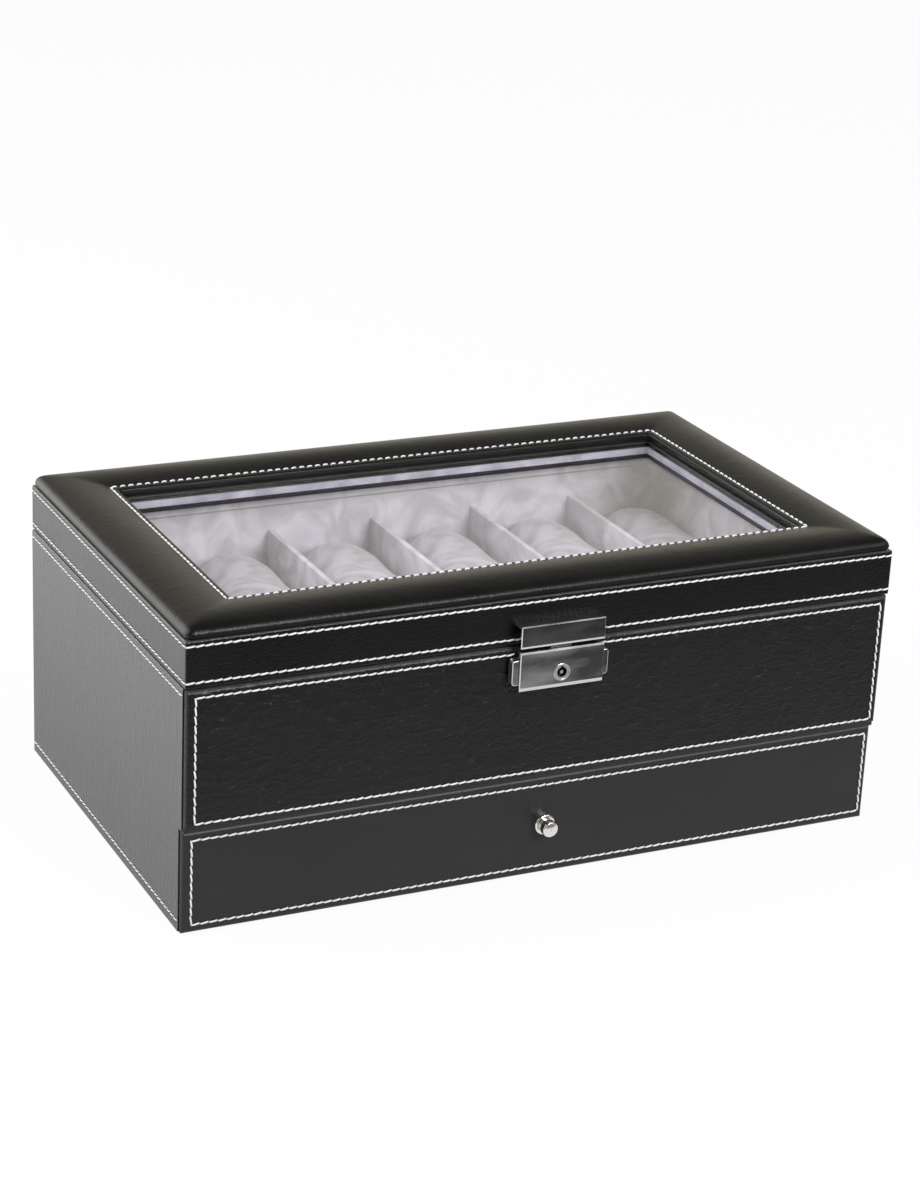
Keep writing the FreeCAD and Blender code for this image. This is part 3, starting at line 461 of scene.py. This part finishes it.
case_low, case_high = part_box("case_leather")
foot_row_rise = 0.0048
rim_row_drop = 0.0031
row_end_gap = 0.001
drawer_setback = 0.0035
case_stitch_rows = []
for level, front_face in ((case_low.z + foot_row_rise, case_low.y + drawer_setback),
                          (case_high.z - rim_row_drop, case_low.y)):
    for face_x in (case_low.x, case_high.x):
        front_end = (face_x, front_face + row_end_gap, level)
        back_end = (face_x, case_high.y - row_end_gap, level)
        if face_x > 0:
            case_stitch_rows.append((front_end, back_end, (1, 0, 0)))
        else:
            case_stitch_rows.append((back_end, front_end, (-1, 0, 0)))
    case_stitch_rows.append(((case_low.x + row_end_gap, case_high.y, level),
                             (case_high.x - row_end_gap, case_high.y, level), (0, 1, 0)))
leaf_margin = 0.001
back_face_margin = 0.0005


def behind_hinge(point, leaf_box, back_face):
    """Whether the left hinge leaf or its twin at the right covers a point on the back face."""
    low, high = leaf_box
    return (point.y > back_face - back_face_margin
            and low.z - leaf_margin < point.z < high.z + leaf_margin
            and low.x - leaf_margin < -abs(point.x) < high.x + leaf_margin)


case_leaf_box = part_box("left_case_hinge_leaf")
sew("case_stitches", case_stitch_rows, "root",
    hidden=lambda point: behind_hinge(point, case_leaf_box, case_high.y))


# Upper front panel. Card wrapped in the same leatherette, glued on proud of the case,
# with a fine sideways wrinkle and stitched all round.
def rows_round(corners, outwards):
    """Four rows of stitches from corner to corner, all the way round."""
    return list(zip(corners, corners[1:] + corners[:1], outwards))


def panel_rows(node, left, right, below_top, above_bottom):
    """Four rows in from the panel's edges, on its front."""
    low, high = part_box(node)
    x_left, x_right = low.x + left, high.x - right
    z_low, z_high = low.z + above_bottom, high.z - below_top
    return rows_round([(x_left, low.y, z_low), (x_right, low.y, z_low),
                       (x_right, low.y, z_high), (x_left, low.y, z_high)], [(0, -1, 0)] * 4)


# Its top edge, facing up, takes a painted olive highlight.
upper_leather = leather_material("upper_panel_leatherette", shine=0.40, glow=0.0, values={
    "Colour": (0.002, 0.002, 0.0025), "Tone Colour": (0.005, 0.005, 0.0055),
    "Painted Highlight Colour": (0.055, 0.053, 0.045), "Painted Highlight Share": 1.0,
    "Grain Size": 1000.0, "Grain Depth": 0.2, "Crease Stretch": (0.42, 1.0, 1.0),
    "Crease Size": 300.0, "Crease Depth": 1.2, "Roughness": 0.38, "Roughness Change": 0.14})
cover(["upper_front_panel"], upper_leather)
lock_low, lock_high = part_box("lock_case")


def under_the_lock(point):
    return lock_low.x < point.x < lock_high.x and point.z > lock_low.z


sew("upper_panel_stitches", panel_rows("upper_front_panel", left=0.0040, right=0.0034,
                                       below_top=0.0031, above_bottom=0.0024),
    "root", hidden=under_the_lock)


# Drawer front panel. The same wrapped card, set back under the upper one, with a smoother skin.
# It is glued to the drawer's front board and stitched all round.
# Its top edge, facing up, takes a painted grey highlight.
drawer_leather = leather_material("drawer_panel_leatherette", shine=0.42, glow=0.05, values={
    "Colour": (0.008, 0.008, 0.009), "Tone Colour": (0.014, 0.015, 0.016),
    "Painted Highlight Colour": (0.12, 0.12, 0.12), "Painted Highlight Share": 1.0,
    "Grain Size": 1300.0, "Grain Depth": 0.16, "Crease Stretch": (0.6, 1.0, 1.0),
    "Crease Size": 240.0, "Crease Depth": 0.25, "Roughness": 0.46, "Roughness Change": 0.08})
cover(["drawer_front_panel"], drawer_leather)
sew("drawer_panel_stitches", panel_rows("drawer_front_panel", left=0.0040, right=0.0030,
                                        below_top=0.0038, above_bottom=0.0040), "drawer")


# Lid skirt. The lid's boards wrapped in leatherette, with a row of stitches
# along the top edge and one along the bottom, all the way round.
# Its edges that face up take a painted highlight.
lid_leather = leather_material("lid_leatherette", shine=0.40, glow=0.0, values={
    "Colour": (0.002, 0.002, 0.0025), "Tone Colour": (0.005, 0.005, 0.0055),
    "Painted Highlight Colour": (0.05, 0.05, 0.05), "Painted Highlight Share": 1.0,
    "Grain Size": 1100.0, "Grain Depth": 0.2, "Crease Stretch": (0.5, 1.0, 0.25),
    "Crease Size": 380.0, "Crease Depth": 0.4, "Roughness": 0.26, "Roughness Change": 0.08})
cover(["lid_leather"], lid_leather)
skirt_low, skirt_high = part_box("lid_leather")
skirt_outwards = [(0, -1, 0), (1, 0, 0), (0, 1, 0), (-1, 0, 0)]
low_row_rise = 0.0028
top_row_drop = 0.0022
lid_stitch_rows = []
for level in (skirt_low.z + low_row_rise, skirt_high.z - top_row_drop):
    lid_stitch_rows += rows_round([(skirt_low.x, skirt_low.y, level), (skirt_high.x, skirt_low.y, level),
                                   (skirt_high.x, skirt_high.y, level), (skirt_low.x, skirt_high.y, level)],
                                  skirt_outwards)
catch_low, catch_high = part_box("catch_plate")
catch_lap = 0.004
lid_leaf_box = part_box("left_lid_hinge_leaf")


def under_lid_metal(point):
    behind_catch = (point.y < 0 and point.z < catch_high.z
                    and catch_low.x + catch_lap < point.x < catch_high.x - catch_lap)
    return behind_catch or behind_hinge(point, lid_leaf_box, skirt_high.y)


sew("lid_stitches", lid_stitch_rows, "lid", hidden=under_lid_metal)


# Padded ring. Soft leatherette over foam, drawn tight round the lid's edge and sewn down
# beside the window, so that it swells between the two and puckers at the corners.
def arc_points(start, middle, end, count):
    """Points of the circle through three points, from start up to but not including end."""
    (ax, ay), (bx, by), (cx, cy) = start, middle, end
    cross = 2 * (ax * (by - cy) + bx * (cy - ay) + cx * (ay - by))
    squares = [ax * ax + ay * ay, bx * bx + by * by, cx * cx + cy * cy]
    centre_x = (squares[0] * (by - cy) + squares[1] * (cy - ay) + squares[2] * (ay - by)) / cross
    centre_y = (squares[0] * (cx - bx) + squares[1] * (ax - cx) + squares[2] * (bx - ax)) / cross
    radius = math.hypot(ax - centre_x, ay - centre_y)
    first = math.atan2(ay - centre_y, ax - centre_x)
    last = math.atan2(cy - centre_y, cx - centre_x)
    through = math.atan2(by - centre_y, bx - centre_x)
    while last < first:
        last += 2 * math.pi
    if not first < through + (2 * math.pi if through < first else 0) < last:
        last -= 2 * math.pi
    angles = [first + (last - first) * step / count for step in range(count)]
    return [(centre_x + radius * math.cos(a), centre_y + radius * math.sin(a)) for a in angles]


ring_inset = 0.0004
window_inset = 0.0312
ring_corner = 0.0014
ring_crown = 0.0066
ring_grid = 0.0035
ring_turn = 0.0006
ring_tuck = 0.0009
foot = (ring_inset + 0.0008, 0.00005)
foot_bulge = (ring_inset + 0.00015, 0.0010)
edge = (ring_inset, 0.0022)
edge_bulge = (ring_inset + 0.0011, 0.0040)
shoulder = (ring_inset + 0.0042, ring_crown - 0.0010)
crown = ((ring_inset + window_inset) / 2 - 0.0014, ring_crown)
dip_start = (window_inset - 0.0055, ring_crown - 0.0014)
seam = (window_inset - 0.0032, ring_crown - 0.00195)
dip_end = (window_inset - 0.0014, ring_crown - 0.0020)
lip_bulge = (window_inset - 0.0003, ring_crown - 0.0024)
lip = (window_inset, ring_crown - 0.0032)
ring_section = arc_points(foot, foot_bulge, edge, 2)
ring_section += arc_points(edge, edge_bulge, shoulder, 3)
ring_section += arc_points(shoulder, crown, dip_start, 7)
ring_section += arc_points(dip_start, seam, dip_end, 3)
ring_section += arc_points(dip_end, lip_bulge, lip, 2)
ring_section += [lip, (window_inset - ring_tuck / 2, lip[1] / 2), (window_inset - ring_tuck, foot[1]),
                 (window_inset - ring_tuck - ring_turn, foot[1]), (foot[0] + ring_turn, foot[1])]
ring_base = skirt_high.z
half_x = (skirt_high.x - skirt_low.x) / 2
half_y = (skirt_high.y - skirt_low.y) / 2


def ring_loop(inset, height):
    """Points round the window at one distance in from the lid's outside."""
    reach_x, reach_y = half_x - inset, half_y - inset
    steps_x, steps_y = round(2 * half_x / ring_grid), round(2 * half_y / ring_grid)
    loop = [(-reach_x + 2 * reach_x * step / steps_x, -reach_y) for step in range(steps_x)]
    loop += [(reach_x, -reach_y + 2 * reach_y * step / steps_y) for step in range(steps_y)]
    loop += [(-x, -y) for x, y in loop]
    rounded = []
    for x, y in loop:
        from_x = abs(x) - (half_x - ring_inset - ring_corner)
        from_y = abs(y) - (half_y - ring_inset - ring_corner)
        if from_x > 0 and from_y > 0:
            pull = max(from_x, from_y) / math.hypot(from_x, from_y)
            x = math.copysign(abs(x) - from_x * (1 - pull), x)
            y = math.copysign(abs(y) - from_y * (1 - pull), y)
        rounded.append((x, y, ring_base + height))
    return rounded


loops = [ring_loop(inset, height) for inset, height in ring_section]
around = len(loops[0])
ring_points = [point for loop in loops for point in loop]
ring_faces = []
for row in range(len(loops)):
    next_row = (row + 1) % len(loops)
    for column in range(around):
        next_column = (column + 1) % around
        ring_faces.append((row * around + column, row * around + next_column,
                           next_row * around + next_column, next_row * around + column))
ring_mesh = bpy.data.meshes.new("padded_leather_ring")
ring_mesh.from_pydata(ring_points, [], ring_faces)
ring_piece = bpy.data.objects.new("padded_leather_ring", ring_mesh)
scene.collection.objects.link(ring_piece)
swell_frames = 20


def swell(piece, pressure, growth, cap, pinned=None, slack=None):
    """Blows the piece up as cloth and keeps the shape, with no point moved further than the cap.
    Slack gives chosen points a larger growth, as (growth, weights)."""
    before = np.array([vertex.co for vertex in piece.data.vertices])
    cloth = piece.modifiers.new("swell", "CLOTH")
    cloth.settings.quality = 5
    cloth.settings.use_pressure = True
    cloth.settings.uniform_pressure_force = pressure
    cloth.settings.effector_weights.gravity = 0
    cloth.settings.shrink_min = -growth
    cloth.collision_settings.use_collision = False
    if pinned is not None:
        pins = piece.vertex_groups.new(name="pins")
        pins.add(pinned, 1.0, "REPLACE")
        cloth.settings.vertex_group_mass = "pins"
    if slack is not None:
        cloth.settings.shrink_max = -slack[0]
        loose = piece.vertex_groups.new(name="loose")
        for index, weight in enumerate(slack[1]):
            loose.add([index], weight, "REPLACE")
        cloth.settings.vertex_group_shrink = "loose"
    for number in range(1, swell_frames + 1):
        scene.frame_set(number)
    sight = bpy.context.evaluated_depsgraph_get()
    after = np.array([vertex.co for vertex in piece.evaluated_get(sight).data.vertices])
    piece.modifiers.remove(cloth)
    scene.frame_set(1)
    move = after - before
    length = np.linalg.norm(move, axis=1)
    scale = np.minimum(1, cap / np.maximum(length, 1e-9))
    piece.data.vertices.foreach_set("co", (before + move * scale[:, None]).ravel())
    piece.data.update()


free_rows = range(4, 12)  # of the section, from below the shoulder to the dip at the seam
pucker_reach = 0.030
pucker_slack = 0.055
pinned_points = [row * around + column for row in range(len(loops)) if row not in free_rows
                 for column in range(around)]
corner_x, corner_y = half_x - window_inset, half_y - window_inset
corner_slack = [max(0.0, 1 - math.hypot(abs(x) - corner_x, abs(y) - corner_y) / pucker_reach)
                for x, y, z in ring_points]
swell(ring_piece, pressure=2.5, growth=0.0, cap=0.0016, pinned=pinned_points,
      slack=(pucker_slack, corner_slack))


def smooth_and_settle(piece, material):
    """One level of subdivision, applied, with smooth shading."""
    rounding = piece.modifiers.new("rounding", "SUBSURF")
    rounding.levels = 1
    rounding.render_levels = 1
    sight = bpy.context.evaluated_depsgraph_get()
    fine = bpy.data.meshes.new_from_object(piece.evaluated_get(sight))
    piece.modifiers.clear()
    piece.data = fine
    fine.shade_smooth()
    fine.materials.clear()
    fine.materials.append(material)


ring_leather = leather_material("ring_leatherette", shine=0.24, glow=0.0, values={
    "Colour": (0.004, 0.004, 0.004), "Tone Colour": (0.009, 0.009, 0.009),
    "Grain Size": 1200.0, "Grain Depth": 0.12, "Crease Stretch": (1.0, 1.0, 1.0),
    "Crease Size": 120.0, "Crease Depth": 0.4, "Roughness": 0.34, "Roughness Change": 0.12})
smooth_and_settle(ring_piece, ring_leather)
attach(ring_piece, "lid")
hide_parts("padded_ring")


# Ring stitches. The same white thread, in a row beside the window. It goes through the leather
# and the board under it, and draws the padding down. Its stitches are short, with clear gaps.
ring_stitch_length = 0.0029
seam_x, seam_y, seam_z = half_x - seam[0], half_y - seam[0], ring_base + seam[1]
sew("ring_stitches", rows_round([(-seam_x, -seam_y, seam_z), (seam_x, -seam_y, seam_z),
                                 (seam_x, seam_y, seam_z), (-seam_x, seam_y, seam_z)], [(0, 0, 1)] * 4),
    "lid", length=ring_stitch_length, slant=math.radians(5))


# Window. A clear pane let into the lid's board from below, under the turned-down leather.
# A frame of board holds it, and a black moulding trims the opening under the lining.
glass, glass_shader = start_material("window_glass", (0.98, 0.98, 0.985), 0.02)
glass_shader.inputs["Transmission Weight"].default_value = 1.0
glass_shader.inputs["IOR"].default_value = 1.45
glass_tree = glass.node_tree
glass_path = glass_tree.nodes.new("ShaderNodeLightPath").outputs
let_through = calculated(glass_tree, "MAXIMUM", glass_path["Is Shadow Ray"], glass_path["Is Diffuse Ray"])
glass_clear = glass_tree.nodes.new("ShaderNodeBsdfTransparent")
feed(glass_tree, glass_tree.nodes["Material Output"].inputs["Surface"],
     mixed_shaders(glass_tree, let_through, glass_shader.outputs[0], glass_clear.outputs[0]))
cover(["window_glass"], glass)
black_moulding = flecked_material("black_moulding", (0.008, 0.008, 0.008), (0.020, 0.020, 0.020),
                                  size=300, detail=3, roughness=0.3)
cover(["window_bezel"], black_moulding)


# Lining. Grey crushed velvet, glued to the walls of the compartment, the lid and the drawer,
# and to both sides of the divider cards.
def build_velvet_group():
    """Crushed velvet: the nap lies this way and that, in streaked light and dark patches."""
    group, given, made = start_group("crushed_velvet", {
        "Nap Down Colour": (0.2, 0.2, 0.2), "Nap Up Colour": (0.4, 0.4, 0.4),
        "Patch Size": 28.0, "Fibre Size": 1600.0}, ["Colour", "Height"])
    patches = noise_on(group, object_coordinates(group), given["Patch Size"], detail=5)
    patches.inputs["Distortion"].default_value = 2.4
    steep = mapped(group, patches.outputs["Fac"], (0.36, 0.64))
    feed(group, made["Colour"],
         blended_colours(group, steep, given["Nap Down Colour"], given["Nap Up Colour"]))
    fibres = noise_on(group, object_coordinates(group), given["Fibre Size"], detail=2)
    feed(group, made["Height"], fibres.outputs["Fac"])
    return group


velvet_group = build_velvet_group()
velvet_bump_distance = 0.0003


def velvet_material(name, nap_down, nap_up, patch_size):
    material, shader = start_material(name, nap_down, 0.95)
    shader.inputs["Specular IOR Level"].default_value = 0.1
    shader.inputs["Sheen Weight"].default_value = 0.5
    shader.inputs["Sheen Roughness"].default_value = 0.4
    coat_with(velvet_group, {"Nap Down Colour": nap_down, "Nap Up Colour": nap_up,
                             "Patch Size": patch_size}, material.node_tree, shader, velvet_bump_distance)
    return material


lining_velvet = velvet_material("lining_velvet", (0.52, 0.50, 0.59), (0.80, 0.78, 0.87), patch_size=30.0)
cover(["tray_lining", "lid_lining", "drawer_lining", "long_divider", "cross_dividers",
       "drawer_dividers"], lining_velvet)


# Watch pillows. Foam wrapped in the same velvet, painted a little darker as shade, pushed loosely into the
# slots.
# The nap is rubbed along the top and the cover is seamed round both ends.
pillow_velvet = velvet_material("pillow_velvet", (0.34, 0.325, 0.395), (0.58, 0.56, 0.65), patch_size=42.0)
pillow_shrink = 0.95
pillow_voxel = 0.0045


def stuffed_cushion(node):
    """The cushion's mesh about its own middle, swollen as a stuffed cover."""
    low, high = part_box(node)
    mesh = nodes[node].data.copy()
    mesh.transform(Matrix.Translation(-(low + high) / 2))
    mesh.transform(Matrix.Diagonal((pillow_shrink, pillow_shrink, pillow_shrink, 1)))
    cushion = bpy.data.objects.new("cushion_blank", mesh)
    scene.collection.objects.link(cushion)
    remesh = cushion.modifiers.new("remesh", "REMESH")
    remesh.mode = "VOXEL"
    remesh.voxel_size = pillow_voxel
    sight = bpy.context.evaluated_depsgraph_get()
    cushion.data = bpy.data.meshes.new_from_object(cushion.evaluated_get(sight))
    cushion.modifiers.clear()
    swell(cushion, pressure=4.0, growth=0.02, cap=0.003)
    smooth_and_settle(cushion, pillow_velvet)
    made = cushion.data
    bpy.data.objects.remove(cushion)
    return made


cushion_mesh = stuffed_cushion("watch_pillow_front_1")
for row_name in ("front", "back"):
    for column in range(1, 7):
        node = "watch_pillow_" + row_name + "_" + str(column)
        low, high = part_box(node)
        pillow = bpy.data.objects.new("cushion_" + row_name + "_" + str(column), cushion_mesh.copy())
        pillow.location = (low + high) / 2
        scene.collection.objects.link(pillow)
        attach(pillow, "root")
        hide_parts(node)


# Lock and catch. Pressed steel with a dark polished nickel finish; the bent edges carry a painted
# highlight.
# The lock is screwed to the case from inside, and the catch to the lid.
def build_metal_group():
    """Polished metal with smeared and wiped marks. Bends, bevels and sheet edges, which are all that
    doesn't face the front or up, get a painted highlight in the bright colour, and a spot that can be given
    takes the same bright colour."""
    group, given, made = start_group("polished_metal", {
        "Dark Colour": (0.1, 0.1, 0.1), "Smear Colour": (0.5, 0.5, 0.5), "Bright Colour": (0.9, 0.9, 0.9),
        "Bright Spot": 0.0, "Roughness": 0.3, "Streak": (1, 1, 1)}, ["Colour", "Roughness"])
    along_streak = stretched_coordinates(group, given["Streak"])
    smears = mapped(group, noise_on(group, along_streak, size=60, detail=4).outputs["Fac"], (0.36, 0.64))
    smeared = blended_colours(group, smears, given["Dark Colour"], given["Smear Colour"])
    facing = own_normal(group)
    # Painted highlight: surfaces that face neither the front nor up take the bright colour.
    off_front = mapped(group, facing["Y"], (-0.998, -0.992))
    off_top = mapped(group, facing["Z"], (0.99, 0.95))
    lit = calculated(group, "MAXIMUM", calculated(group, "MULTIPLY", off_front, off_top),
                     given["Bright Spot"])
    feed(group, made["Colour"], blended_colours(group, lit, smeared, given["Bright Colour"]))
    wipes = noise_on(group, along_streak, size=160, detail=5).outputs["Fac"]
    wiped = mapped(group, wipes, (0, 1), (-0.1, 0.16))
    feed(group, made["Roughness"], calculated(group, "ADD", given["Roughness"], wiped))
    return group


metal_group = build_metal_group()


def metal_material(name, dark, smear, bright, roughness, streak=(1, 1, 1), bright_spot=None):
    """Polished metal. A bright spot is a centre and a radius, seen from the front."""
    material, shader = start_material(name, dark, roughness, 1.0)
    tree = material.node_tree
    spot_mask = 0.0
    if bright_spot:
        centre, radius = bright_spot
        away = tree.nodes.new("ShaderNodeVectorMath")
        away.operation = "DISTANCE"
        feed(tree, away.inputs[0], stretched_coordinates(tree, (1, 0, 1)))
        feed(tree, away.inputs[1], (centre.x, 0, centre.z))
        spot_mask = calculated(tree, "LESS_THAN", away.outputs["Value"], radius)
    coat_with(metal_group, {"Dark Colour": dark, "Smear Colour": smear, "Bright Colour": bright,
                            "Bright Spot": spot_mask, "Roughness": roughness, "Streak": streak},
              tree, shader)
    return material


plate_streak = (0.5, 1, 1.6)
barrel_low, barrel_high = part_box("key_cylinder")
barrel_ring_radius = 0.0039
barrel_ring = ((barrel_low + barrel_high) / 2, barrel_ring_radius)
lock_nickel = metal_material("lock_nickel", (0.12, 0.12, 0.12), (0.50, 0.50, 0.50), (0.95, 0.94, 0.92),
                             roughness=0.28, streak=plate_streak, bright_spot=barrel_ring)
cover(["lock_case"], lock_nickel)
catch_nickel = metal_material("catch_nickel", (0.05, 0.05, 0.05), (0.20, 0.20, 0.20), (0.95, 0.94, 0.92),
                              roughness=0.28, streak=plate_streak)
cover(["catch_plate"], catch_nickel)


# Key cylinder. A bright turned barrel with a round keyhole, painted dark inside round its pin as shade.
# It sits in the lock's ring and turns with the key.
keyhole_rim = 0.0004
barrel_nickel = metal_material("barrel_nickel", (0.70, 0.69, 0.67), (0.85, 0.84, 0.82), (0.90, 0.89, 0.87),
                               roughness=0.16)
barrel_tree = barrel_nickel.node_tree
barrel_base = barrel_tree.nodes["Principled BSDF"].inputs["Base Color"]
polished = barrel_base.links[0].from_socket
barrel_depth = separated(barrel_tree, object_coordinates(barrel_tree))["Y"]
# Painted shade: past the keyhole's rim the barrel's colour turns near black.
keyhole_painted_shade = mapped(barrel_tree, barrel_depth, (barrel_low.y + keyhole_rim, barrel_low.y + 2 * keyhole_rim))
feed(barrel_tree, barrel_base, blended_colours(barrel_tree, keyhole_painted_shade, polished, (0.01, 0.01, 0.01)))
cover(["key_cylinder"], barrel_nickel)


# Latch slider. Pressed steel with a finger ear at each end, nickel plated like the lock.
# It slides down behind the lock's front, against two small springs.
cover(["latch_slider"], lock_nickel)


# Drawer knob. Turned brass with a bright nickel finish. A screw from inside the drawer
# holds it to the panel.
knob_nickel = metal_material("knob_nickel", (0.86, 0.83, 0.77), (0.89, 0.86, 0.81), (0.90, 0.88, 0.84),
                             roughness=0.12)
cover(["drawer_knob"], knob_nickel)


# Hinges, screws and springs. Two steel butt hinges at the back with their pins, the screws of
# hinges, lock, catch and knob, and the latch's coil springs. All are zinc plated and plain.
hinge_steel = metal_material("hinge_steel", (0.46, 0.46, 0.46), (0.56, 0.56, 0.56), (0.60, 0.60, 0.60),
                             roughness=0.32, streak=(0.3, 1, 1))
cover(["left_case_hinge_leaf", "right_case_hinge_leaf", "left_lid_hinge_leaf",
       "right_lid_hinge_leaf", "hinge_pins"], hinge_steel)
screw_steel = metal_material("screw_steel", (0.42, 0.42, 0.43), (0.50, 0.50, 0.51), (0.55, 0.55, 0.56),
                             roughness=0.35)
cover(["case_hinge_screws", "lid_hinge_screws", "lock_screws", "catch_screws", "knob_screw"], screw_steel)
spring_steel = metal_material("spring_steel", (0.36, 0.36, 0.38), (0.42, 0.42, 0.44), (0.45, 0.45, 0.47),
                              roughness=0.3)
cover(["latch_springs"], spring_steel)
